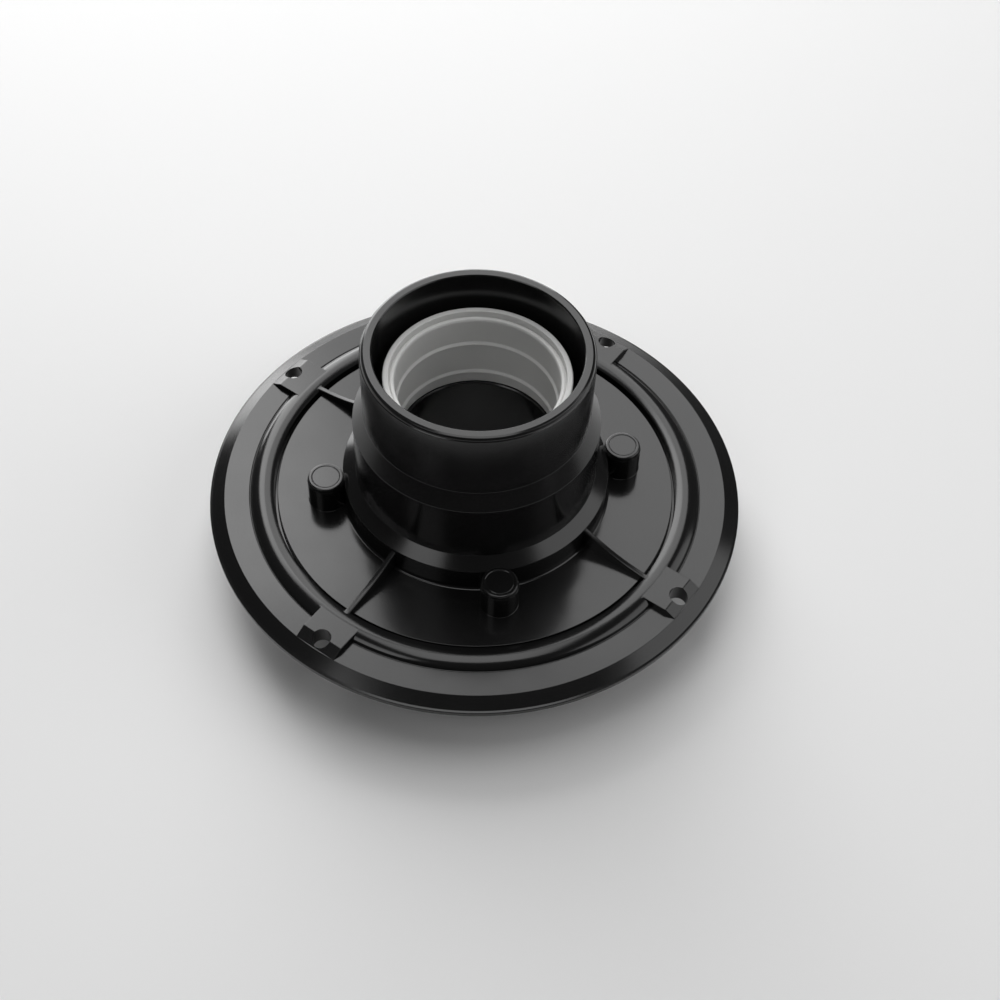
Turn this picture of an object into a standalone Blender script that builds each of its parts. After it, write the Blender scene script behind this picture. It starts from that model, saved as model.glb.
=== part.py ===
"""Shower drain base flange, stood on its threaded adaptor with the waste spigot pointing up (+Z).

A black ABS flange with a stepped spigot is clamped over a gasket by a ring and four bolts. A threaded
adaptor screws through the ring, is locked by a ring nut on two washers, and carries the pale outlet seal.
The origin is on the spigot's axis, on the flat face of the adaptor's collar that the part stands on.
In use the part hangs the other way up, with the spigot down through the floor.
"""

import math

import bmesh
import bpy
from mathutils import Matrix, Vector

# Driving dimensions, in metres. Radii are from the spigot's axis.
FLANGE_R = 0.0900
BAND_R = 0.0849
PLATE_T = 0.00405
BEAD_T = 0.0061
LIP_T = 0.0016
SPIGOT_H = 0.0683
SPIGOT_R = 0.0369
SPIGOT_BORE_R = 0.0331
BARREL_R = 0.0403
BARREL_BORE_R = 0.0364
COLLAR_R = 0.0447
THROAT_R = 0.0420

BOSS_CIRCLE_R = 0.0504
BOSS_R = 0.0063
BOSS_T = 0.01485
FIXING_CIRCLE_R = 0.0812
FIXING_HOLE_R = 0.0031
PAD_W = 0.0152
GUSSET_T = 0.0018

GAP = 0.0003
THREAD_R = 0.0319
THREAD_BORE_R = 0.0323
WATERWAY_R = 0.0256
ADAPTOR_COLLAR_R = 0.0410
ADAPTOR_COLLAR_T = 0.0050
ADAPTOR_H = 0.0487
SEAL_SPIGOT_R = 0.0280

LOCK_TRAVEL = 0.0030
LOCK_T = 0.0050
SLIP_T = 0.0010
WASHER_SEAL_T = 0.0020
CLAMP_WEB_T = 0.0038
CLAMP_R = 0.0660
CLAMP_BASE_Z = 0.0120
GASKET_T = 0.0015

BOLT_R = 0.00295
BOLT_HEAD_R = 0.00575
BOLT_HEAD_T = 0.0040
BOLT_L = 0.0182
BOLT_WASHER_R = 0.0062
BOLT_WASHER_T = 0.0011
INSERT_R = 0.0044
INSERT_L = 0.0100

# The stack of pieces on the adaptor's thread, from its collar up to the flange's clamped face.
LOCK_Z = ADAPTOR_COLLAR_T + LOCK_TRAVEL + GAP
SLIP_Z = LOCK_Z + LOCK_T + GAP
WASHER_SEAL_Z = SLIP_Z + SLIP_T + GAP
CLAMP_WEB_Z = WASHER_SEAL_Z + WASHER_SEAL_T + GAP
CLAMP_TOP_Z = CLAMP_WEB_Z + CLAMP_WEB_T
GASKET_Z = CLAMP_TOP_Z + GAP
FLANGE_Z = GASKET_Z + GASKET_T + GAP
BOLT_Z = CLAMP_BASE_Z + 0.0001
BOLT_WASHER_Z = BOLT_Z + BOLT_HEAD_T + GAP
COUNTERBORE_Z = BOLT_WASHER_Z + BOLT_WASHER_T + GAP
INSERT_Z = FLANGE_Z + GAP
INSERT_HOLE_TOP_Z = BOLT_Z + BOLT_HEAD_T + BOLT_L + 0.0010
SEAL_Z = ADAPTOR_H - 0.0120
SEAL_TOP_Z = FLANGE_Z + 0.0570

BOSS_ANGLES = [math.radians(90 * i) for i in range(4)]
PAD_ANGLES = [math.radians(45 + 90 * i) for i in range(4)]
WEEP_ANGLES = [math.radians(22.5 + 45 * i) for i in range(8)]
MAIN_STEPS = 72
INNER_STEPS = 60
SLEEVE_STEPS = 48
SMALL_STEPS = 20
PAST = 0.0010  # how far a cutter runs past the face that it opens


def clear_scene():
    for obj in list(bpy.data.objects):
        bpy.data.objects.remove(obj)


def new_collection(name):
    collection = bpy.data.collections.new(name)
    bpy.context.scene.collection.children.link(collection)
    return collection


def plastic(name, colour, roughness, metallic=0.0):
    """A Principled material of one colour."""
    material = bpy.data.materials.new(name)
    material.use_nodes = True
    shader = material.node_tree.nodes["Principled BSDF"]
    shader.inputs["Base Color"].default_value = (*colour, 1.0)
    shader.inputs["Roughness"].default_value = roughness
    shader.inputs["Metallic"].default_value = metallic
    return material


def place(mesh, name, collection, material=None):
    obj = bpy.data.objects.new(name, mesh)
    collection.objects.link(obj)
    if material is not None:
        mesh.materials.append(material)
    return obj


def turned(name, profile, material, steps):
    """A closed (radius, z) outline, listed down its outer side and up its inner side, turned about Z."""
    mesh = bpy.data.meshes.new(name)
    count = len(profile)
    points = [(r, 0.0, z) for r, z in profile]
    mesh.from_pydata(points, [(i, (i + 1) % count) for i in range(count)], [])
    obj = place(mesh, name, PARTS, material)
    screw = obj.modifiers.new("turn", "SCREW")
    screw.steps = screw.render_steps = steps
    screw.use_merge_vertices = True
    screw.merge_threshold = 0.00001
    return obj


def ring(name, inner_r, outer_r, low, thickness, material, steps, chamfer=0.0):
    """A flat ring, which may have chamfered outer edges."""
    high = low + thickness
    if chamfer:
        rim = [
            (outer_r - chamfer, high),
            (outer_r, high - chamfer),
            (outer_r, low + chamfer),
            (outer_r - chamfer, low),
        ]
    else:
        rim = [(outer_r, high), (outer_r, low)]
    return turned(name, [(inner_r, high), *rim, (inner_r, low)], material, steps)


def helper(mesh, name):
    """A cutter or a piece to be joined on, which isn't part of the object itself."""
    obj = place(mesh, name, HELPERS)
    obj.hide_render = True
    obj.display_type = "WIRE"
    return obj


def mesh_of(name, build):
    mesh = bpy.data.meshes.new(name)
    shape = bmesh.new()
    build(shape)
    bmesh.ops.recalc_face_normals(shape, faces=shape.faces)
    shape.to_mesh(mesh)
    shape.free()
    return mesh


def cylinder(name, radius, low, high, at=(0.0, 0.0), steps=SMALL_STEPS, top_r=None):
    def build(shape):
        centre = Matrix.Translation((at[0], at[1], (low + high) / 2))
        bmesh.ops.create_cone(
            shape,
            cap_ends=True,
            segments=steps,
            radius1=radius,
            radius2=radius if top_r is None else top_r,
            depth=high - low,
            matrix=centre,
        )

    return mesh_of(name, build)


def block(name, size, centre, angle):
    """A box whose X side points along angle, with its centre given in that turned frame."""

    def build(shape):
        turn = Matrix.Rotation(angle, 4, "Z")
        scale = Matrix.Diagonal((*size, 1.0))
        bmesh.ops.create_cube(shape, size=1.0, matrix=turn @ Matrix.Translation(centre) @ scale)

    return mesh_of(name, build)


def slab(name, outline, thickness, angle):
    """A flat (radius, z) outline made thick, standing on the radius at angle."""

    def build(shape):
        corners = [shape.verts.new((r, -thickness / 2, z)) for r, z in outline]
        face = shape.faces.new(corners)
        grown = bmesh.ops.extrude_face_region(shape, geom=[face])
        moved = [v for v in grown["geom"] if isinstance(v, bmesh.types.BMVert)]
        bmesh.ops.translate(shape, verts=moved, vec=(0, thickness, 0))
        bmesh.ops.rotate(shape, verts=shape.verts, matrix=Matrix.Rotation(angle, 3, "Z"))

    return mesh_of(name, build)


def boolean(obj, other, operation):
    modifier = obj.modifiers.new(other.name, "BOOLEAN")
    modifier.operation = operation
    modifier.solver = "EXACT"
    modifier.object = other


def on_circle(radius, angle):
    return (radius * math.cos(angle), radius * math.sin(angle))


def flange_profile():
    """The flange's section: spigot, barrel, collar, panel, bead, band and rim, then back up the bore."""
    z = FLANGE_Z
    groove_z = z + 0.0012
    outside = [
        (SPIGOT_BORE_R + 0.0006, z + SPIGOT_H),
        (SPIGOT_R - 0.0010, z + SPIGOT_H),
        (SPIGOT_R, z + SPIGOT_H - 0.0021),
        (SPIGOT_R, z + 0.0433),
        (BARREL_R, z + 0.0379),
        (BARREL_R, z + 0.0158),
        (COLLAR_R, z + 0.0128),
        (COLLAR_R, z + PLATE_T + 0.0008),
        (COLLAR_R + 0.0008, z + PLATE_T),
        (0.0671, z + PLATE_T),
        (0.0673, groove_z),
    ]
    bead = [
        (0.0682, groove_z),
        (0.0683, z + 0.0055),
        (0.0692, z + 0.0059),
        (0.0702, z + BEAD_T),
        (0.0716, z + BEAD_T),
        (0.0727, z + 0.0058),
        (0.0738, z + 0.0054),
        (0.0748, z + 0.0048),
        (0.0757, z + 0.0040),
    ]
    rim = [
        (0.0765, z + 0.0037),
        (0.0766, z + PLATE_T),
        (BAND_R, z + PLATE_T),
        (FLANGE_R, z + LIP_T),
        (FLANGE_R, z),
    ]
    bore = [
        (THROAT_R, z),
        (BARREL_BORE_R, z + 0.0130),
        (BARREL_BORE_R, z + 0.0385),
        (SPIGOT_BORE_R, z + 0.0438),
        (SPIGOT_BORE_R, z + SPIGOT_H - 0.0006),
    ]
    return outside + bead + rim + bore


def gusset_outline():
    """A rib from the collar down to the bead, with a slightly hollow top edge."""
    inner_r, outer_r = COLLAR_R - 0.0015, 0.0702
    high, low = FLANGE_Z + 0.0126, FLANGE_Z + 0.0056
    steps = 5
    top = []
    for i in range(steps + 1):
        share = i / steps
        hollow = 0.0014 * math.sin(math.pi * share)
        top.append((inner_r + share * (outer_r - inner_r), high + share * (low - high) - hollow))
    foot = FLANGE_Z + PLATE_T / 2
    return [*top, (outer_r, foot), (inner_r, foot)]


def pad_outline():
    """A raised pad from the bead's crest outwards, with its outer part sloping down in line with the rim's cone."""
    high = FLANGE_Z + BEAD_T - 0.0001
    slope = (PLATE_T - LIP_T) / (FLANGE_R - BAND_R)
    knee_r = BAND_R - (high - FLANGE_Z - PLATE_T) / slope
    foot = FLANGE_Z + PLATE_T / 2
    toe_r = BAND_R - 0.0004
    toe_z = FLANGE_Z + PLATE_T - slope * (toe_r - BAND_R)
    return [(0.0708, high), (knee_r, high), (toe_r, toe_z), (toe_r, foot), (0.0708, foot)]


def make_flange_body():
    body = turned("flange_body", flange_profile(), BLACK_ABS, MAIN_STEPS)
    for i, angle in enumerate(PAD_ANGLES, 1):
        for kind, outline, width in (("pad", pad_outline(), PAD_W), ("gusset", gusset_outline(), GUSSET_T)):
            boolean(body, helper(slab(f"{kind}_{i}", outline, width, angle), f"{kind}_{i}"), "UNION")
    for i, angle in enumerate(BOSS_ANGLES, 1):
        at = on_circle(BOSS_CIRCLE_R, angle)
        low, high = FLANGE_Z + PLATE_T / 2, FLANGE_Z + BOSS_T
        boss = cylinder(f"boss_{i}", BOSS_R, low, high, at, 32, BOSS_R - 0.0002)
        boolean(body, helper(boss, f"boss_{i}"), "UNION")
    for i, angle in enumerate(BOSS_ANGLES, 1):
        at = on_circle(BOSS_CIRCLE_R, angle)
        hole = cylinder(f"insert_hole_{i}", INSERT_R + GAP, FLANGE_Z - PAST, INSERT_HOLE_TOP_Z, at)
        boolean(body, helper(hole, f"insert_hole_{i}"), "DIFFERENCE")
    for i, angle in enumerate(PAD_ANGLES, 1):
        at = on_circle(FIXING_CIRCLE_R, angle)
        hole = cylinder(f"fixing_hole_{i}", FIXING_HOLE_R, FLANGE_Z - PAST, FLANGE_Z + BEAD_T + PAST, at)
        boolean(body, helper(hole, f"fixing_hole_{i}"), "DIFFERENCE")
    return body


def make_clamping_ring():
    tube_r = 0.0356
    tube_top = FLANGE_Z + 0.0119
    recess_r = 0.0445
    profile = [
        (THREAD_BORE_R + 0.0005, tube_top),
        (tube_r - 0.0005, tube_top),
        (tube_r, tube_top - 0.0005),
        (tube_r, CLAMP_TOP_Z),
        (CLAMP_R, CLAMP_TOP_Z),
        (CLAMP_R, CLAMP_BASE_Z + 0.0010),
        (CLAMP_R - 0.0010, CLAMP_BASE_Z),
        (recess_r + 0.0008, CLAMP_BASE_Z),
        (recess_r, CLAMP_BASE_Z + 0.0008),
        (recess_r, CLAMP_WEB_Z),
        (THREAD_BORE_R, CLAMP_WEB_Z),
        (THREAD_BORE_R, tube_top - 0.0005),
    ]
    body = turned("clamping_ring", profile, BLACK_ABS, INNER_STEPS)
    for i, angle in enumerate(BOSS_ANGLES, 1):
        at = on_circle(BOSS_CIRCLE_R, angle)
        seat = cylinder(f"counterbore_{i}", 0.0071, CLAMP_BASE_Z - PAST, COUNTERBORE_Z, at)
        boolean(body, helper(seat, f"counterbore_{i}"), "DIFFERENCE")
        hole = cylinder(f"bolt_hole_{i}", 0.0034, CLAMP_BASE_Z, CLAMP_TOP_Z + PAST, at)
        boolean(body, helper(hole, f"bolt_hole_{i}"), "DIFFERENCE")
    for i, angle in enumerate(WEEP_ANGLES, 1):
        at = on_circle(0.0386, angle)
        weep = cylinder(f"weep_hole_{i}", 0.0016, CLAMP_WEB_Z - PAST, CLAMP_TOP_Z + PAST, at, 12)
        boolean(body, helper(weep, f"weep_hole_{i}"), "DIFFERENCE")
    return body


def make_gasket():
    body = ring("membrane_gasket", 0.0435, 0.0640, GASKET_Z, GASKET_T, BLACK_RUBBER, INNER_STEPS)
    for i, angle in enumerate(BOSS_ANGLES, 1):
        at = on_circle(BOSS_CIRCLE_R, angle)
        hole = cylinder(f"gasket_hole_{i}", 0.0038, GASKET_Z - PAST, GASKET_Z + GASKET_T + PAST, at)
        boolean(body, helper(hole, f"gasket_hole_{i}"), "DIFFERENCE")
    return body


def notch_edge(body, name, count, edge_r, depth, width, low, high):
    """Cuts wrench notches round a ring's edge."""
    for i in range(count):
        angle = math.radians(360 / count * i)
        size = (2 * depth, width, high - low)
        notch = block(f"{name}_{i + 1}", size, Vector((edge_r, 0, (low + high) / 2)), angle)
        boolean(body, helper(notch, f"{name}_{i + 1}"), "DIFFERENCE")


def make_threaded_adaptor():
    shoulder_z = SEAL_Z - GAP
    profile = [
        (WATERWAY_R + 0.0005, ADAPTOR_H),
        (SEAL_SPIGOT_R - 0.0004, ADAPTOR_H),
        (SEAL_SPIGOT_R, ADAPTOR_H - 0.0004),
        (SEAL_SPIGOT_R, shoulder_z),
        (THREAD_R - 0.0006, shoulder_z),
        (THREAD_R, shoulder_z - 0.0006),
        (THREAD_R, ADAPTOR_COLLAR_T),
        (ADAPTOR_COLLAR_R - 0.0006, ADAPTOR_COLLAR_T),
        (ADAPTOR_COLLAR_R, ADAPTOR_COLLAR_T - 0.0006),
        (ADAPTOR_COLLAR_R, 0.0006),
        (ADAPTOR_COLLAR_R - 0.0006, 0.0),
        (WATERWAY_R + 0.0008, 0.0),
        (WATERWAY_R, 0.0008),
        (WATERWAY_R, ADAPTOR_H - 0.0005),
    ]
    body = turned("threaded_adaptor", profile, BLACK_ABS, INNER_STEPS)
    notch_edge(body, "adaptor_notch", 6, ADAPTOR_COLLAR_R, 0.0040, 0.0080, -PAST, ADAPTOR_COLLAR_T + PAST)
    return body


def make_lock_ring():
    body = ring("lock_ring", THREAD_BORE_R, 0.0405, LOCK_Z, LOCK_T, BLACK_ABS, INNER_STEPS, 0.0005)
    notch_edge(body, "lock_notch", 8, 0.0405, 0.0025, 0.0060, LOCK_Z - PAST, LOCK_Z + LOCK_T + PAST)
    return body


def make_outlet_seal():
    """The pale sleeve: a socket over the adaptor's end, a wall with two inner lips, and a stepped top."""
    bore_r, outer_r = 0.0263, 0.0301
    lip_r, lip_half = 0.0254, 0.0009
    lips = []
    for lip_z in (FLANGE_Z + 0.0308, FLANGE_Z + 0.0440):
        lips += [(bore_r, lip_z - lip_half), (lip_r, lip_z), (bore_r, lip_z + lip_half)]
    profile = [
        (0.0283, SEAL_TOP_Z),
        (outer_r - 0.0004, SEAL_TOP_Z),
        (outer_r, SEAL_TOP_Z - 0.0004),
        (outer_r, SEAL_Z),
        (SEAL_SPIGOT_R + GAP, SEAL_Z),
        (SEAL_SPIGOT_R + GAP, ADAPTOR_H + GAP),
        (bore_r, ADAPTOR_H + GAP),
        *lips,
        (bore_r, SEAL_TOP_Z - 0.0032),
        (0.0268, SEAL_TOP_Z - 0.0020),
        (0.0276, SEAL_TOP_Z - 0.0020),
        (0.0279, SEAL_TOP_Z - 0.0023),
        (0.0281, SEAL_TOP_Z - 0.0003),
    ]
    return turned("outlet_seal", profile, PALE_RUBBER, SLEEVE_STEPS)


def make_bolt(index, angle):
    """A slotted hex bolt, head down, with its origin on its own axis at the underside of the head."""
    x, y = on_circle(BOSS_CIRCLE_R, angle)
    head = cylinder(f"clamp_bolt_{index}", BOLT_HEAD_R, 0.0, BOLT_HEAD_T, steps=6)
    body = place(head, f"clamp_bolt_{index}", PARTS, STEEL)
    body.location = (x, y, BOLT_Z)
    shank = helper(cylinder(f"shank_{index}", BOLT_R, 0.0020, BOLT_HEAD_T + BOLT_L), f"shank_{index}")
    slot = helper(block(f"slot_{index}", (0.0200, 0.0014, 0.0024), (0, 0, 0), 0.0), f"slot_{index}")
    shank.location = slot.location = body.location
    boolean(body, shank, "UNION")
    boolean(body, slot, "DIFFERENCE")
    return body


def make_bolt_washer(index, angle):
    x, y = on_circle(BOSS_CIRCLE_R, angle)
    low = BOLT_WASHER_Z - BOLT_Z
    name = f"bolt_washer_{index}"
    body = ring(name, BOLT_R + GAP, BOLT_WASHER_R, low, BOLT_WASHER_T, STEEL, SMALL_STEPS)
    body.location = (x, y, BOLT_Z)
    return body


def make_insert(index, angle):
    x, y = on_circle(BOSS_CIRCLE_R, angle)
    low = INSERT_Z - BOLT_Z
    name = f"boss_insert_{index}"
    body = ring(name, BOLT_R + GAP, INSERT_R, low, INSERT_L, BRASS, SMALL_STEPS)
    body.location = (x, y, BOLT_Z)
    return body


def pivot(name, parent, children):
    """An empty on the spigot's axis that carries the pieces which move together."""
    empty = bpy.data.objects.new(name, None)
    PARTS.objects.link(empty)
    empty.parent = parent
    for child in children:
        child.parent = empty
    return empty


def smooth(obj):
    """Round faces shade smooth, and edges over 30 degrees stay sharp."""
    obj.data.shade_smooth()
    obj.data.set_sharp_from_angle(angle=math.radians(30))
    for modifier in obj.modifiers:
        if modifier.type == "SCREW":
            modifier.use_smooth_shade = False


clear_scene()
PARTS = new_collection("shower_drain_base_flange")
HELPERS = new_collection("cutters")
BLACK_ABS = plastic("black_abs", (0.012, 0.012, 0.013), 0.28)
BLACK_RUBBER = plastic("black_rubber", (0.020, 0.020, 0.020), 0.75)
PALE_RUBBER = plastic("pale_rubber", (0.62, 0.63, 0.63), 0.40)
GREY_POLYTHENE = plastic("grey_polythene", (0.45, 0.46, 0.47), 0.50)
STEEL = plastic("stainless_steel", (0.62, 0.61, 0.59), 0.30, 1.0)
BRASS = plastic("brass", (0.70, 0.52, 0.24), 0.35, 1.0)

adaptor = make_threaded_adaptor()
seal = make_outlet_seal()
lock = make_lock_ring()
slip = ring("slip_washer", 0.0324, 0.0355, SLIP_Z, SLIP_T, GREY_POLYTHENE, SLEEVE_STEPS)
washer_seal = ring("seal_washer", 0.0324, 0.0358, WASHER_SEAL_Z, WASHER_SEAL_T, BLACK_RUBBER, SLEEVE_STEPS)
clamp = make_clamping_ring()
gasket = make_gasket()
flange = make_flange_body()
inserts = [make_insert(i, angle) for i, angle in enumerate(BOSS_ANGLES, 1)]
bolts = [make_bolt(i, angle) for i, angle in enumerate(BOSS_ANGLES, 1)]
bolt_washers = [make_bolt_washer(i, angle) for i, angle in enumerate(BOSS_ANGLES, 1)]

adaptor_axis = pivot("adaptor_axis", None, [adaptor])
pivot("seal_axis", adaptor_axis, [seal])
pivot("lock_axis", adaptor_axis, [lock, slip])
clamp_axis = pivot("clamp_axis", adaptor_axis, [washer_seal, clamp, gasket, *bolts, *bolt_washers])
pivot("flange_axis", clamp_axis, [flange, *inserts])

for part in PARTS.objects:
    if part.type == "MESH":
        smooth(part)
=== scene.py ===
"""Looks of the shower drain base flange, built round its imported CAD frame.

Each CAD node is replaced by a finer mesh of the same size with fillets, screw threads and moulding marks,
in procedural plastics, rubbers and metals. All lengths are in metres, in the frame of the CAD model.
"""

import math

import bmesh
import bpy
import numpy as np
from mathutils import Matrix, Vector


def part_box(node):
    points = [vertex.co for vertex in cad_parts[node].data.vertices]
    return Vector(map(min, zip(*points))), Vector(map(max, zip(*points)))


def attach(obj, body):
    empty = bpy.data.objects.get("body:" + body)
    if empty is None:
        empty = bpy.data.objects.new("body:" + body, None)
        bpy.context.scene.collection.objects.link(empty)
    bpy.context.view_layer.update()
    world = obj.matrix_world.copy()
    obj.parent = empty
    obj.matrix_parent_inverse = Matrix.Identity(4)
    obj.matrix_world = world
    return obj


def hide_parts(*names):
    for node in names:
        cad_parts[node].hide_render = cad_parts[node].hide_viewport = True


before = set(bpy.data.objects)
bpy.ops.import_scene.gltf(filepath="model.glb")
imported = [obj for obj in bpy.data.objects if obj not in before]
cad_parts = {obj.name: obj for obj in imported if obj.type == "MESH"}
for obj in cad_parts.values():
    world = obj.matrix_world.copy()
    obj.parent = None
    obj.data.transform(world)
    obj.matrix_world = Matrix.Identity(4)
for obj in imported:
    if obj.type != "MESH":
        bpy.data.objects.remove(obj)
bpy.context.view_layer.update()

ROUND = 256  # steps round the large turned pieces
FINE = 96  # steps round bosses, bolts and holes
FILLET = 4  # steps along a small fillet
FILLET_STEP = 0.0004  # the radius that adds one more step to a fillet

PAST = 0.001  # how far a cutter runs past the face that it opens
GAP = 0.0003  # room between neighbouring pieces

PITCH = 0.003  # of the thread on the adaptor
THREAD_DEPTH = 0.0009
THREAD_R = 0.0319
THREAD_BORE_R = 0.0323
BOLT_PITCH = 0.001
BOLT_THREAD_DEPTH = 0.0005


# ---------------------------------------------------------------- shapes


def low(node):
    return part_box(node)[0]


def high(node):
    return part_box(node)[1]


def polar(radius, degrees):
    return (radius * math.cos(math.radians(degrees)), radius * math.sin(math.radians(degrees)))


def rounded(corners):
    """A closed outline of (r, z, fillet radius) corners, with each corner rounded to its own radius."""
    points = []
    count = len(corners)
    for i, (r, z, radius) in enumerate(corners):
        here = np.array((r, z))
        before = np.array(corners[i - 1][:2]) - here
        after = np.array(corners[(i + 1) % count][:2]) - here
        reach = min(np.linalg.norm(before), np.linalg.norm(after)) * 0.49
        before, after = before / np.linalg.norm(before), after / np.linalg.norm(after)
        half = math.acos(max(-1.0, min(1.0, float(before @ after)))) / 2
        if radius <= 0 or half > 1.55:
            points.append(tuple(here))
            continue
        tangent = min(radius / math.tan(half), reach)
        radius = tangent * math.tan(half)
        middle = before + after
        centre = here + middle / np.linalg.norm(middle) * radius / math.sin(half)
        start, end = here + before * tangent - centre, here + after * tangent - centre
        turn = math.atan2(start[0] * end[1] - start[1] * end[0], float(start @ end))
        steps = FILLET + int(radius / FILLET_STEP)
        for k in range(steps + 1):
            a = turn * k / steps
            spin = np.array(((math.cos(a), -math.sin(a)), (math.sin(a), math.cos(a))))
            points.append(tuple(centre + spin @ start))
    return points


def mesh_object(name, points, faces):
    mesh = bpy.data.meshes.new(name)
    mesh.from_pydata([tuple(p) for p in points], [], [tuple(f) for f in faces])
    obj = bpy.data.objects.new(name, mesh)
    bpy.context.scene.collection.objects.link(obj)
    return obj


def turned(name, outline, steps=ROUND, at=(0.0, 0.0), reshape=None):
    """A closed (r, z) outline turned about the upright line through at.

    reshape(r, z, angle), where it is given, returns the radii to use at that angle.
    """
    r, z = np.array(outline).T
    points = []
    for a in np.arange(steps) * (2 * math.pi / steps):
        here = r if reshape is None else reshape(r, z, a)
        points += zip(at[0] + here * math.cos(a), at[1] + here * math.sin(a), z)
    count = len(outline)
    faces = []
    for i in range(steps):
        here, there = i * count, (i + 1) % steps * count
        for j in range(count):
            k = (j + 1) % count
            faces.append((here + j, there + j, there + k, here + k))
    obj = mesh_object(name, points, faces)
    shape = bmesh.new()
    shape.from_mesh(obj.data)
    bmesh.ops.remove_doubles(shape, verts=shape.verts, dist=1e-6)
    bmesh.ops.recalc_face_normals(shape, faces=shape.faces)
    shape.to_mesh(obj.data)
    shape.free()
    return obj


def with_rows(outline, wall_r, row):
    """The outline with points every row along its straight upright walls at radius wall_r."""
    points = []
    for (r0, z0), (r1, z1) in zip(outline, [*outline[1:], outline[0]]):
        points.append((r0, z0))
        if abs(r0 - wall_r) < 1e-6 and abs(r1 - wall_r) < 1e-6:
            count = int(abs(z1 - z0) / row)
            points += [(wall_r, z0 + (z1 - z0) * k / count) for k in range(1, count)]
    return points


def screw_thread(wall_r, pitch, depth, z_low, z_high, fade):
    """A right-hand thread on an upright wall: cut inwards by a depth above 0, outwards by one below 0."""

    def reshape(r, z, a):
        turn = z / pitch - a / (2 * math.pi)
        root = np.clip(0.5 - 0.8 * np.cos(2 * math.pi * turn), 0.0, 1.0)
        ends = np.clip(np.minimum(z - z_low, z_high - z) / fade, 0.0, 1.0)
        on_wall = np.abs(r - wall_r) < 1e-6
        return np.where(on_wall, r - depth * root * ends, r)

    return reshape


def prism(name, outline, width, angle, bevel=0.0):
    """A flat (r, z) outline made thick across the radius at angle, with its edges rounded by bevel."""
    side = width / 2
    count = len(outline)
    spin = Matrix.Rotation(angle, 3, "Z")
    corners = [Vector((r, s, z)) for s in (-side, side) for r, z in outline]
    points = [spin @ p for p in corners]
    faces = [tuple(range(count)), tuple(range(2 * count - 1, count - 1, -1))]
    faces += [(i, count + i, count + (i + 1) % count, (i + 1) % count) for i in range(count)]
    obj = mesh_object(name, points, faces)
    shape = bmesh.new()
    shape.from_mesh(obj.data)
    bmesh.ops.recalc_face_normals(shape, faces=shape.faces)
    if bevel:
        sharp = [e for e in shape.edges if len(e.link_faces) == 2 and e.calc_face_angle() > 0.35]
        bmesh.ops.bevel(shape, geom=sharp, offset=bevel, segments=3, profile=0.5, affect="EDGES")
    shape.to_mesh(obj.data)
    shape.free()
    return obj


def box_at(name, length, width, height, r, z, angle):
    """A box along the radius at angle, with its centre at that radius and height."""
    half_l, half_h = length / 2, height / 2
    outline = [
        (r - half_l, z - half_h),
        (r + half_l, z - half_h),
        (r + half_l, z + half_h),
        (r - half_l, z + half_h),
    ]
    return prism(name, outline, width, angle)


def cut(obj, tools, operation="DIFFERENCE"):
    """Applies an exact Boolean of obj with each tool, and removes the tools."""
    for tool in tools:
        modifier = obj.modifiers.new("cut", "BOOLEAN")
        modifier.operation = operation
        modifier.solver = "EXACT"
        modifier.object = tool
    graph = bpy.context.evaluated_depsgraph_get()
    mesh = bpy.data.meshes.new_from_object(obj.evaluated_get(graph))
    obj.modifiers.clear()
    obj.data = mesh
    for tool in tools:
        bpy.data.objects.remove(tool)


def finish_shape(obj, angle=32.0):
    """Smooth faces with sharp edges over the angle, and normals weighted by face size."""
    obj.data.shade_smooth()
    obj.data.set_sharp_from_angle(angle=math.radians(angle))
    weighted = obj.modifiers.new("normals", "WEIGHTED_NORMAL")
    weighted.mode = "FACE_AREA"
    weighted.keep_sharp = True


def dress(obj, material, body, node):
    """Gives a piece its material and body, and hides the CAD node that it stands for."""
    obj.data.materials.clear()
    obj.data.materials.append(material)
    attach(obj, body)
    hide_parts(node)


# ---------------------------------------------------------------- materials


def new_material(name, colour, roughness, metallic=0.0):
    material = bpy.data.materials.new(name)
    material.use_nodes = True
    shader = material.node_tree.nodes["Principled BSDF"]
    shader.inputs["Base Color"].default_value = (*colour, 1.0)
    shader.inputs["Roughness"].default_value = roughness
    shader.inputs["Metallic"].default_value = metallic
    return material, material.node_tree, shader


def add_node(tree, kind, **inputs):
    """A new node, with inputs set by name, where _ stands for a space."""
    node = tree.nodes.new(kind)
    for name, value in inputs.items():
        node.inputs[name.replace("_", " ")].default_value = value
    return node


def noise(tree, scale, detail=4.0, roughness=0.55, stretch=(1.0, 1.0, 1.0)):
    """Noise in object space, with the pattern drawn out by stretch."""
    place = add_node(tree, "ShaderNodeTexCoord")
    mapping = add_node(tree, "ShaderNodeMapping", Scale=stretch)
    pattern = add_node(tree, "ShaderNodeTexNoise", Scale=scale, Detail=detail, Roughness=roughness)
    tree.links.new(place.outputs["Object"], mapping.inputs["Vector"])
    tree.links.new(mapping.outputs["Vector"], pattern.inputs["Vector"])
    return pattern.outputs["Fac"]


def vary_roughness(tree, shader, pattern, from_low, from_high, to_low, to_high):
    """Makes the roughness follow a pattern, from one range of its values to another."""
    spans = {"From_Min": from_low, "From_Max": from_high, "To_Min": to_low, "To_Max": to_high}
    node = add_node(tree, "ShaderNodeMapRange", **spans)
    tree.links.new(pattern, node.inputs["Value"])
    tree.links.new(node.outputs["Result"], shader.inputs["Roughness"])


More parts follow.
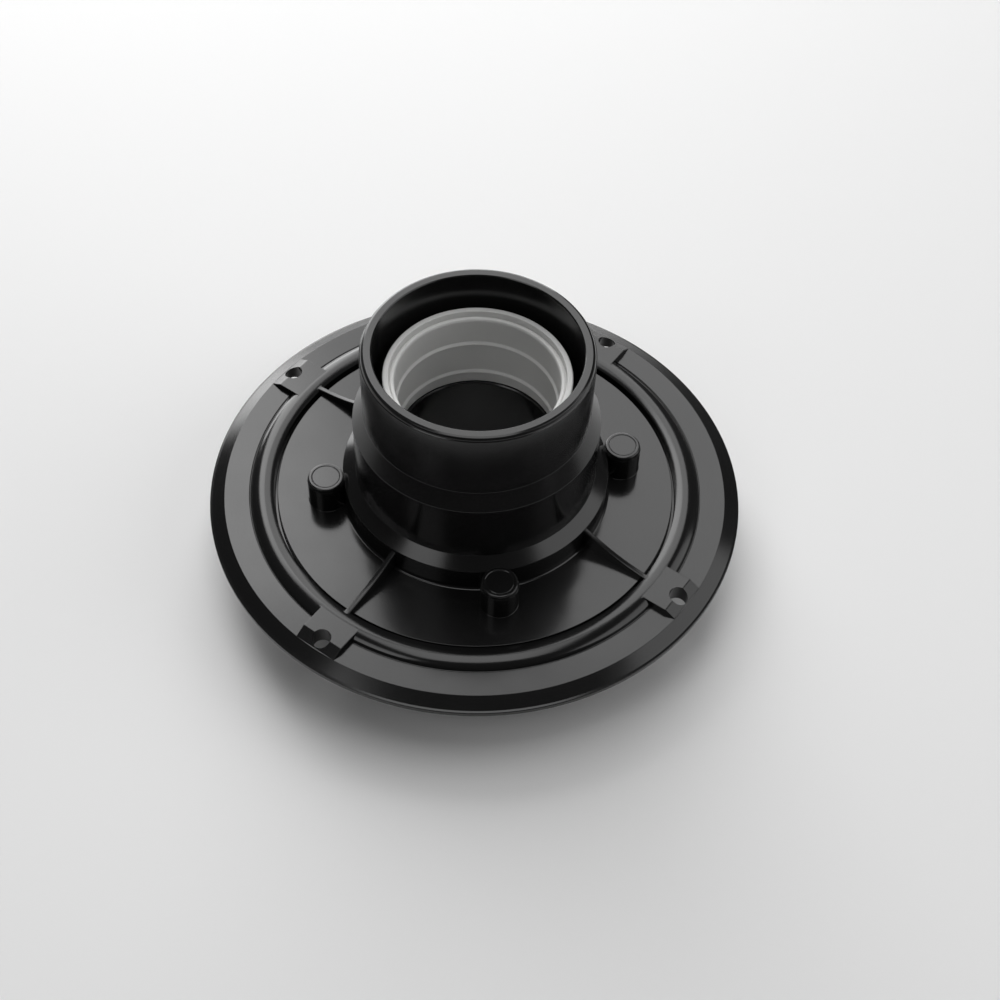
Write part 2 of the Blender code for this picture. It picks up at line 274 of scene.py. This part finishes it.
def add_bump(tree, shader, pattern, strength, distance, under=None):
    """Bumps the surface by a pattern, over another bump's normal where one is given."""
    bump = add_node(tree, "ShaderNodeBump", Strength=strength, Distance=distance)
    tree.links.new(pattern, bump.inputs["Height"])
    if under is not None:
        tree.links.new(under, bump.inputs["Normal"])
    tree.links.new(bump.outputs["Normal"], shader.inputs["Normal"])
    return bump.outputs["Normal"]


def black_abs():
    """Gloss black ABS: a soft waviness, a fine grain and gloss that varies a little from place to place."""
    material, tree, shader = new_material("black_abs_gloss", (0.0070, 0.0070, 0.0071), 0.17)
    cloud = noise(tree, 45.0, 3.0)
    speck = noise(tree, 900.0, 2.0)
    vary_roughness(tree, shader, cloud, 0.30, 0.70, 0.14, 0.20)
    wave = add_bump(tree, shader, cloud, 0.10, 0.00010)
    add_bump(tree, shader, speck, 0.10, 0.00002, wave)
    return material


def pale_rubber():
    """Off-white soft polymer that lets some light through."""
    material, tree, shader = new_material("pale_rubber_satin", (0.66, 0.66, 0.65), 0.42)
    shader.inputs["Subsurface Weight"].default_value = 0.25
    shader.inputs["Subsurface Radius"].default_value = (0.004, 0.004, 0.004)
    shader.inputs["Subsurface Scale"].default_value = 1.0
    vary_roughness(tree, shader, noise(tree, 60.0, 3.0), 0.3, 0.7, 0.36, 0.50)
    add_bump(tree, shader, noise(tree, 500.0, 3.0), 0.12, 0.00008)
    return material


def black_rubber():
    material, tree, shader = new_material("black_rubber_matt", (0.020, 0.020, 0.020), 0.72)
    vary_roughness(tree, shader, noise(tree, 120.0, 5.0), 0.3, 0.7, 0.62, 0.82)
    add_bump(tree, shader, noise(tree, 1400.0, 4.0), 0.25, 0.00006)
    return material


def grey_polythene():
    material, tree, shader = new_material("grey_polythene_waxy", (0.45, 0.46, 0.47), 0.48)
    vary_roughness(tree, shader, noise(tree, 90.0, 4.0), 0.3, 0.7, 0.40, 0.56)
    add_bump(tree, shader, noise(tree, 700.0, 3.0), 0.15, 0.00006)
    return material


def machined(name, colour, roughness):
    """Turned metal, with fine scratches drawn out sideways and small dull spots."""
    material, tree, shader = new_material(name, colour, roughness, 1.0)
    scratches = noise(tree, 260.0, 6.0, 0.6, (1.0, 1.0, 14.0))
    spots = noise(tree, 350.0, 3.0)
    vary_roughness(tree, shader, spots, 0.35, 0.75, roughness - 0.06, roughness + 0.16)
    add_bump(tree, shader, scratches, 0.18, 0.00003)
    return material


# ---------------------------------------------------------------- the flange


FLANGE_Z = low("flange_body").z
FLANGE_R = high("flange_body").x
BOSS_ANGLES = (0, 90, 180, 270)
PAD_ANGLES = (45, 135, 225, 315)
BOSS_CIRCLE = 0.0504
INSERT_HOLE_R = 0.0047
FIXING_CIRCLE = 0.0812
FIXING_HOLE_R = 0.0031
PAD_W = 0.0152
PLATE_TOP = FLANGE_Z + 0.00405
BEAD_TOP = FLANGE_Z + 0.0061
LIP_TOP = FLANGE_Z + 0.0019
SPIGOT_R = 0.0369
BARREL_R = 0.0403
COLLAR_R = 0.0447
BAND_R = 0.0849
CONE_R = 0.0892


def bead_arc():
    """The crown of the bead, from its edge over the inner groove down to its foot at the band."""
    radius, crest_r = 0.0066, 0.0716
    tilts = np.radians(np.linspace(-30.0, 39.0, 24))
    return [(crest_r + radius * math.sin(t), BEAD_TOP - radius * (1 - math.cos(t)), 0.0) for t in tilts]


def flange_outline():
    """The spigot, barrel, collar, panel, bead, band and rim, then back up the bore, all with fillets."""
    z = FLANGE_Z
    corners = [
        (0.0334, z + 0.0683, 0.0002),
        (0.0355, z + 0.0683, 0.0002),
        (0.0362, z + 0.0680, 0.0004),
        (0.0365, z + 0.0674, 0.0003),
        (0.0366, z + 0.0671, 0.0001),
        (SPIGOT_R, z + 0.0669, 0.0002),
        (SPIGOT_R, z + 0.0433, 0.0003),
        (BARREL_R, z + 0.0379, 0.0004),
        (BARREL_R, z + 0.0158, 0.0003),
        (COLLAR_R, z + 0.0128, 0.0004),
        (COLLAR_R, PLATE_TOP, 0.0010),
        (0.0671, PLATE_TOP, 0.0002),
        (0.0672, z + 0.0012, 0.0002),
        (0.0682, z + 0.0012, 0.0002),
        *bead_arc(),
        (0.0761, z + 0.0038, 0.0004),
        (0.0765, z + 0.0037, 0.0002),
        (0.0766, PLATE_TOP, 0.0002),
        (BAND_R, PLATE_TOP, 0.0003),
        (CONE_R, LIP_TOP, 0.0002),
        (FLANGE_R, z + 0.0017, 0.0003),
        (FLANGE_R, z, 0.0003),
        (0.0420, z, 0.0004),
        (0.0364, z + 0.0130, 0.0006),
        (0.0364, z + 0.0385, 0.0006),
        (0.0331, z + 0.0438, 0.0006),
        (0.0331, z + 0.0680, 0.0002),
    ]
    return rounded(corners)


def boss(angle):
    """A bolt boss: a filleted foot, a small step under the top, and a disc inside a fine ring."""
    top = FLANGE_Z + 0.01485
    foot = FLANGE_Z + 0.0020
    outline = rounded(
        [
            (0.0, top - 0.00005, 0.0),
            (0.0044, top - 0.00005, 0.0001),
            (0.0046, top - 0.0002, 0.0001),
            (0.0048, top, 0.0001),
            (0.0059, top, 0.0006),
            (0.00605, top - 0.0014, 0.0001),
            (0.0062, top - 0.0016, 0.0001),
            (0.0063, PLATE_TOP, 0.0003),
            (0.0067, PLATE_TOP - 0.00002, 0.0),
            (0.0067, foot, 0.0),
            (0.0, foot, 0.0),
        ]
    )
    return turned(f"boss_{angle}", outline, FINE, polar(BOSS_CIRCLE, angle))


def gusset(angle):
    """A thin rib from the collar down to the bead, with a slightly hollow top edge."""
    steps, hollow = 10, 0.0014
    inner, outer = 0.0430, 0.0702
    up, down, foot = FLANGE_Z + 0.0126, FLANGE_Z + 0.0056, FLANGE_Z + 0.002
    outline = []
    for k in range(steps + 1):
        share = k / steps
        edge = up + share * (down - up) - hollow * math.sin(math.pi * share)
        outline.append((inner + share * (outer - inner), edge))
    outline += [(outer, foot), (inner, foot)]
    return prism(f"gusset_{angle}", outline, 0.0018, math.radians(angle), 0.0004)


def pad(angle):
    """A raised pad from the bead's crest outwards, with its outer part in line with the rim's cone."""
    inner, foot, top = 0.0708, FLANGE_Z + 0.0020, BEAD_TOP - 0.00005
    slope = (PLATE_TOP - LIP_TOP) / (CONE_R - BAND_R)
    knee = BAND_R - (top - PLATE_TOP) / slope
    inset = 0.0003
    toe = BAND_R - inset
    outline = [(inner, top), (knee, top), (toe, PLATE_TOP + slope * inset), (toe, foot), (inner, foot)]
    return prism(f"pad_{angle}", outline, PAD_W, math.radians(angle), 0.00025)


def witness(index, radius, angle, bottom, top):
    """A faint upright moulding line that stands out of a wall of that radius."""
    inner, outer = radius - 0.0005, radius + 0.00006
    outline = [(inner, bottom), (outer, bottom), (outer, top), (inner, top)]
    return prism(f"witness_{index}", outline, 0.0003, math.radians(angle))


def hole(name, radius, bottom, top, at):
    """A round cutter between two heights."""
    return turned(name, [(0.0, top), (radius, top), (radius, bottom), (0.0, bottom)], FINE // 2, at)


def make_flange(material):
    body = turned("flange_body_fine", flange_outline())
    adds = [boss(a) for a in BOSS_ANGLES]
    adds += [gusset(a) for a in PAD_ANGLES]
    adds += [pad(a) for a in PAD_ANGLES]
    adds.append(witness(1, BARREL_R, 260, FLANGE_Z + 0.0220, FLANGE_Z + 0.0330))
    adds.append(witness(2, SPIGOT_R, 221, FLANGE_Z + 0.0445, FLANGE_Z + 0.0520))
    cut(body, adds, "UNION")
    base, insert_top, above = FLANGE_Z - PAST, FLANGE_Z + 0.0122, FLANGE_Z + 0.01
    holes = []
    for a in BOSS_ANGLES:
        holes.append(hole(f"insert_hole_{a}", INSERT_HOLE_R, base, insert_top, polar(BOSS_CIRCLE, a)))
    for a in PAD_ANGLES:
        holes.append(hole(f"screw_hole_{a}", FIXING_HOLE_R, base, above, polar(FIXING_CIRCLE, a)))
    cut(body, holes)
    finish_shape(body)
    dress(body, material, "flange", "flange_body")


# ---------------------------------------------------------------- the pieces under the flange


def ring_outline(inner_r, outer_r, bottom, top, inner_fillet, outer_fillet):
    """A flat ring's section, with its inner and outer edges rounded."""
    corners = [
        (inner_r, top, inner_fillet),
        (outer_r, top, outer_fillet),
        (outer_r, bottom, outer_fillet),
        (inner_r, bottom, inner_fillet),
    ]
    return rounded(corners)


def notches(name, count, edge_r, depth, width, bottom, top):
    """Cutters for square wrench notches round a ring's edge."""
    tools = []
    for i in range(count):
        angle = math.radians(360 / count * i)
        middle = (top + bottom) / 2
        tools.append(box_at(f"{name}_{i}", 2 * depth, width, top - bottom, edge_r, middle, angle))
    return tools


def make_adaptor(material):
    base, top = low("threaded_adaptor").z, high("threaded_adaptor").z
    shoulder = low("outlet_seal").z - GAP
    collar_top = base + 0.0050
    bore_r, nose_r, collar_r = 0.0256, 0.0280, 0.0410
    corners = [
        (bore_r + 0.0005, top, 0.0003),
        (nose_r, top, 0.0006),
        (nose_r, shoulder, 0.0003),
        (THREAD_R, shoulder, 0.0006),
        (THREAD_R, collar_top, 0.0003),
        (collar_r, collar_top, 0.0007),
        (collar_r, base, 0.0007),
        (bore_r, base, 0.0009),
        (bore_r, top - 0.0005, 0.0003),
    ]
    outline = with_rows(rounded(corners), THREAD_R, PITCH / 12)
    thread = screw_thread(THREAD_R, PITCH, THREAD_DEPTH, collar_top + 0.0006, shoulder - 0.0006, 0.0015)
    body = turned("threaded_adaptor_fine", outline, reshape=thread)
    cut(body, notches("adaptor_notch", 6, collar_r, 0.0040, 0.0080, base - PAST, collar_top + PAST))
    finish_shape(body)
    dress(body, material, "adaptor", "threaded_adaptor")


def make_lock_ring(material):
    base, top = low("lock_ring").z, high("lock_ring").z
    outer_r = 0.0405
    outline = ring_outline(THREAD_BORE_R, outer_r, base, top, 0.0003, 0.0006)
    outline = with_rows(outline, THREAD_BORE_R, PITCH / 12)
    thread = screw_thread(THREAD_BORE_R, PITCH, -THREAD_DEPTH, base, top, 0.0008)
    body = turned("lock_ring_fine", outline, reshape=thread)
    cut(body, notches("lock_notch", 8, outer_r, 0.0025, 0.0060, base - PAST, top + PAST))
    finish_shape(body)
    dress(body, material, "lock_ring", "lock_ring")


def make_clamping_ring(material):
    """The ring under the gasket, with a threaded throat, counterbored bolt holes and weep holes."""
    base, top = low("clamping_ring").z, high("clamping_ring").z
    plate_top = low("membrane_gasket").z - GAP
    web = plate_top - 0.0038
    throat_r, skirt_r, outer_r = 0.0356, 0.0445, 0.0660
    corners = [
        (THREAD_BORE_R, top, 0.0004),
        (throat_r, top, 0.0005),
        (throat_r, plate_top, 0.0006),
        (outer_r, plate_top, 0.0004),
        (outer_r, base, 0.0010),
        (skirt_r, base, 0.0008),
        (skirt_r, web, 0.0008),
        (THREAD_BORE_R, web, 0.0004),
    ]
    outline = with_rows(rounded(corners), THREAD_BORE_R, PITCH / 12)
    thread = screw_thread(THREAD_BORE_R, PITCH, -THREAD_DEPTH, web, top, 0.0010)
    body = turned("clamping_ring_fine", outline, reshape=thread)
    counterbore_r, counterbore_top = 0.0071, high("bolt_washer_1").z + GAP
    bolt_hole_r = 0.0034
    weep_r, weep_circle, weeps = 0.0016, 0.0386, 8
    tools = []
    for a in BOSS_ANGLES:
        at = polar(BOSS_CIRCLE, a)
        tools.append(hole(f"counterbore_{a}", counterbore_r, base - PAST, counterbore_top, at))
        tools.append(hole(f"bolt_hole_{a}", bolt_hole_r, base, plate_top + PAST, at))
    for i in range(weeps):
        at = polar(weep_circle, 360 / weeps * (i + 0.5))
        tools.append(hole(f"weep_{i}", weep_r, web - PAST, plate_top + PAST, at))
    cut(body, tools)
    finish_shape(body)
    dress(body, material, "clamping_ring", "clamping_ring")


def ridged(inner_r, outer_r, bottom, top, ridge, gap, height):
    """The section of a flat ring with rounded concentric ridges on both faces, between plain margins."""
    edge = 0.0002
    floor, roof = bottom + height, top - height
    low_edge, high_edge = floor + edge, roof - edge
    up, down = [], []
    count = int((outer_r - inner_r - gap) / (ridge + gap))
    for i in range(count):
        start = inner_r + gap + i * (ridge + gap)
        for k in range(7):
            share = k / 6
            rise = height * math.sin(math.pi * share)
            up.append((start + ridge * share, roof + rise))
            down.append((start + ridge * share, floor - rise))
    inner = [(inner_r, low_edge), (inner_r, high_edge), (inner_r + edge, roof)]
    outer = [(outer_r - edge, roof), (outer_r, high_edge), (outer_r, low_edge), (outer_r - edge, floor)]
    return [*inner, *up, *outer, *down[::-1], (inner_r + edge, floor)]


def make_gasket(material):
    base, top = low("membrane_gasket").z, high("membrane_gasket").z
    body = turned("membrane_gasket_fine", ridged(0.0435, 0.0640, base, top, 0.0012, 0.0010, 0.0003))
    ends = (base - PAST, top + PAST)
    cut(body, [hole(f"gasket_hole_{a}", 0.0038, *ends, polar(BOSS_CIRCLE, a)) for a in BOSS_ANGLES])
    finish_shape(body)
    dress(body, material, "clamping_ring", "membrane_gasket")


def make_washers(rubber, polythene):
    """The ridged seal washer, and the plain slip washer under it."""
    inner_r = 0.0324
    base, top = low("seal_washer").z, high("seal_washer").z
    seal = turned("seal_washer_fine", ridged(inner_r, 0.0358, base, top, 0.0008, 0.0003, 0.0003))
    finish_shape(seal)
    dress(seal, rubber, "seal_washer", "seal_washer")
    base, top = low("slip_washer").z, high("slip_washer").z
    slip = turned("slip_washer_fine", ring_outline(inner_r, 0.0355, base, top, 0.00025, 0.00025))
    finish_shape(slip)
    dress(slip, polythene, "slip_washer", "slip_washer")


def make_outlet_seal(material):
    """The pale sleeve: a socket on the adaptor's end, two soft inner lips and a stepped top."""
    base, top = low("outlet_seal").z, high("outlet_seal").z
    bore_r, lip_r, socket_r, outer_r = 0.0263, 0.0254, 0.0283, 0.0301
    socket_top = high("threaded_adaptor").z + GAP
    lips = []
    for lip_z in (FLANGE_Z + 0.0308, FLANGE_Z + 0.0440):
        lips += [(bore_r, lip_z - 0.0010, 0.0006), (lip_r, lip_z, 0.0004), (bore_r, lip_z + 0.0010, 0.0006)]
    corners = [
        (0.0282, top, 0.0003),
        (outer_r, top, 0.0005),
        (outer_r, base, 0.0004),
        (socket_r, base, 0.0003),
        (socket_r, socket_top, 0.0003),
        (bore_r, socket_top, 0.0003),
        *lips,
        (bore_r, top - 0.0028, 0.0004),
        (0.0266, top - 0.0020, 0.0004),
        (0.0276, top - 0.0020, 0.0003),
        (0.0278, top - 0.0024, 0.0001),
        (0.0281, top - 0.0024, 0.0001),
    ]
    body = turned("outlet_seal_fine", rounded(corners))
    finish_shape(body, 50.0)
    dress(body, material, "outlet_seal", "outlet_seal")


def make_bolt_mesh():
    """A slotted hex bolt, head down, with its head's face at z = 0 and a screw thread on its shank."""
    head_t, head_r, shank_r = 0.0040, 0.00575, 0.00295
    length = high("clamp_bolt_1").z - low("clamp_bolt_1").z
    head = turned("bolt_head", [(0.0, head_t), (head_r, head_t), (head_r, 0.0), (0.0, 0.0)], 6)
    clear_r = head_r + 0.001
    crown = [(0.0, head_t), (clear_r, head_t), (clear_r, 0.0017), (0.0048, 0.0), (0.0, 0.0)]
    cut(head, [turned("crown", crown, FINE)], "INTERSECT")
    point, inside = 0.0006, head_t - 0.0010
    corners = [
        (0.0, length, 0.0),
        (shank_r - point, length, 0.0002),
        (shank_r, length - point, 0.0),
        (shank_r, inside, 0.0),
        (0.0, inside, 0.0),
    ]
    outline = with_rows(rounded(corners), shank_r, BOLT_PITCH / 10)
    thread = screw_thread(shank_r, BOLT_PITCH, BOLT_THREAD_DEPTH, head_t, length - 0.0004, 0.0004)
    shank = turned("shank", outline, FINE // 2, reshape=thread)
    cut(head, [shank], "UNION")
    cut(head, [box_at("slot", 0.0200, 0.0014, 0.0024, 0.0, 0.0, 0.0)])
    mesh = head.data
    bpy.data.objects.remove(head)
    return mesh


def copy_at(name, mesh, at, z):
    """A copy of a mesh, moved to its place in the frame, with its object left at the origin."""
    own = mesh.copy()
    own.transform(Matrix.Translation((at[0], at[1], z)))
    obj = bpy.data.objects.new(name, own)
    bpy.context.scene.collection.objects.link(obj)
    return obj


def knurled(r, z, angle):
    """Thirty-two fine upright ridges on an insert's outer bands."""
    band_r, depth = 0.0043, 0.00018
    ridge = depth * (0.5 + 0.5 * math.cos(32 * angle))
    return np.where(r > band_r, r - ridge, r)


def insert_outline(base, top):
    """An insert's section, with a groove round its waist."""
    hole_r, outer_r, waist_r = 0.00325, 0.0044, 0.0040
    middle = (base + top) / 2
    corners = [
        (hole_r, top, 0.0003),
        (outer_r, top, 0.0003),
        (outer_r, middle + 0.0008, 0.0002),
        (waist_r, middle + 0.0004, 0.0),
        (waist_r, middle - 0.0004, 0.0),
        (outer_r, middle - 0.0008, 0.0002),
        (outer_r, base, 0.0003),
        (hole_r, base, 0.0003),
    ]
    return rounded(corners)


def make_fasteners(steel, brass):
    """The four clamp bolts, their washers and the brass inserts that they screw into."""
    bolt = make_bolt_mesh()
    for i, a in enumerate(BOSS_ANGLES, 1):
        at = polar(BOSS_CIRCLE, a)
        node = f"clamp_bolt_{i}"
        piece = copy_at(node + "_fine", bolt, at, low(node).z)
        finish_shape(piece)
        dress(piece, steel, node, node)

        node = f"bolt_washer_{i}"
        flat = ring_outline(0.00325, 0.0062, low(node).z, high(node).z, 0.0001, 0.00025)
        washer = turned(node + "_fine", flat, FINE, at)
        finish_shape(washer)
        dress(washer, steel, node, node)

        node = f"boss_insert_{i}"
        outline = insert_outline(low(node).z, high(node).z)
        insert = turned(node + "_fine", outline, 4 * FINE, at, knurled)
        finish_shape(insert)
        dress(insert, brass, "flange", node)


# ---------------------------------------------------------------- stage


AIM = Vector((0.0, 0.0, 0.03))  # the middle of the object


def softbox(name, azimuth, elevation, distance, width, height, power):
    """A rectangular lamp aimed at the object, at that azimuth (0 is +Y, 90 is +X) and elevation from it."""
    a, e = math.radians(azimuth), math.radians(elevation)
    direction = Vector((math.sin(a) * math.cos(e), math.cos(a) * math.cos(e), math.sin(e)))
    lamp = bpy.data.lights.new(name, "AREA")
    lamp.shape = "RECTANGLE"
    lamp.size, lamp.size_y = width, height
    lamp.energy = power
    obj = bpy.data.objects.new(name, lamp)
    bpy.context.scene.collection.objects.link(obj)
    obj.location = AIM + direction * distance
    obj.rotation_euler = direction.to_track_quat("Z", "Y").to_euler()


def make_world():
    """A dim room for light and reflections, seen directly as a plain pale backdrop."""
    world = bpy.data.worlds.new("studio")
    world.use_nodes = True
    tree = world.node_tree
    room = tree.nodes["Background"]
    room.inputs["Color"].default_value = (0.05, 0.05, 0.05, 1.0)
    backdrop = add_node(tree, "ShaderNodeBackground", Color=(0.70, 0.70, 0.70, 1.0))
    seen = add_node(tree, "ShaderNodeLightPath")
    mix = add_node(tree, "ShaderNodeMixShader")
    tree.links.new(seen.outputs["Is Camera Ray"], mix.inputs["Fac"])
    tree.links.new(room.outputs["Background"], mix.inputs[1])
    tree.links.new(backdrop.outputs["Background"], mix.inputs[2])
    tree.links.new(mix.outputs["Shader"], tree.nodes["World Output"].inputs["Surface"])
    bpy.context.scene.world = world


def make_stage():
    """A plain pale floor and soft lamps in a dim room."""
    half = 1.2
    corners = [(-half, -half, 0), (half, -half, 0), (half, half, 0), (-half, half, 0)]
    floor = mesh_object("floor", corners, [(0, 1, 2, 3)])
    floor.data.materials.append(new_material("pale_floor", (0.78, 0.78, 0.78), 0.6)[0])
    make_world()
    bpy.context.scene.view_settings.view_transform = "Standard"
    softbox("back_panel", 1.0, 36.5, 1.6, 1.5, 1.65, 20.0)
    softbox("back_left", -16.0, 34.0, 1.7, 0.6, 1.4, 5.5)
    softbox("horizon", -4.0, 6.0, 2.0, 2.2, 0.4, 13.0)
    softbox("right_panel", 105.0, 32.0, 1.6, 1.6, 1.2, 9.0)
    softbox("front_left", -124.0, 47.0, 1.6, 0.6, 0.6, 2.2)
    softbox("overhead", 0.0, 85.0, 1.8, 1.0, 1.2, 8.5)


def make_camera():
    """Above the near side, looking down at 51 degrees at the middle of the flange."""
    camera = bpy.data.objects.new("camera", bpy.data.cameras.new("camera"))
    bpy.context.scene.collection.objects.link(camera)
    camera.data.sensor_width = 36.0
    camera.data.lens = 55.17
    forward = Vector((0.11878, 0.61167, -0.78214)).normalized()
    up = Vector((0.10815, 0.77506, 0.62256)).normalized()
    right = forward.cross(up).normalized()
    turn = Matrix((right, right.cross(forward), -forward)).transposed().to_4x4()
    camera.matrix_world = Matrix.Translation((-0.05459, -0.32623, 0.43237)) @ turn
    bpy.context.scene.camera = camera


ABS, RUBBER, POLYTHENE = black_abs(), black_rubber(), grey_polythene()
make_flange(ABS)
make_adaptor(ABS)
make_lock_ring(ABS)
make_clamping_ring(ABS)
make_gasket(RUBBER)
make_washers(RUBBER, POLYTHENE)
make_outlet_seal(pale_rubber())
make_fasteners(
    machined("stainless_steel_turned", (0.62, 0.61, 0.59), 0.30),
    machined("brass_turned", (0.70, 0.52, 0.24), 0.34),
)
make_stage()
make_camera()
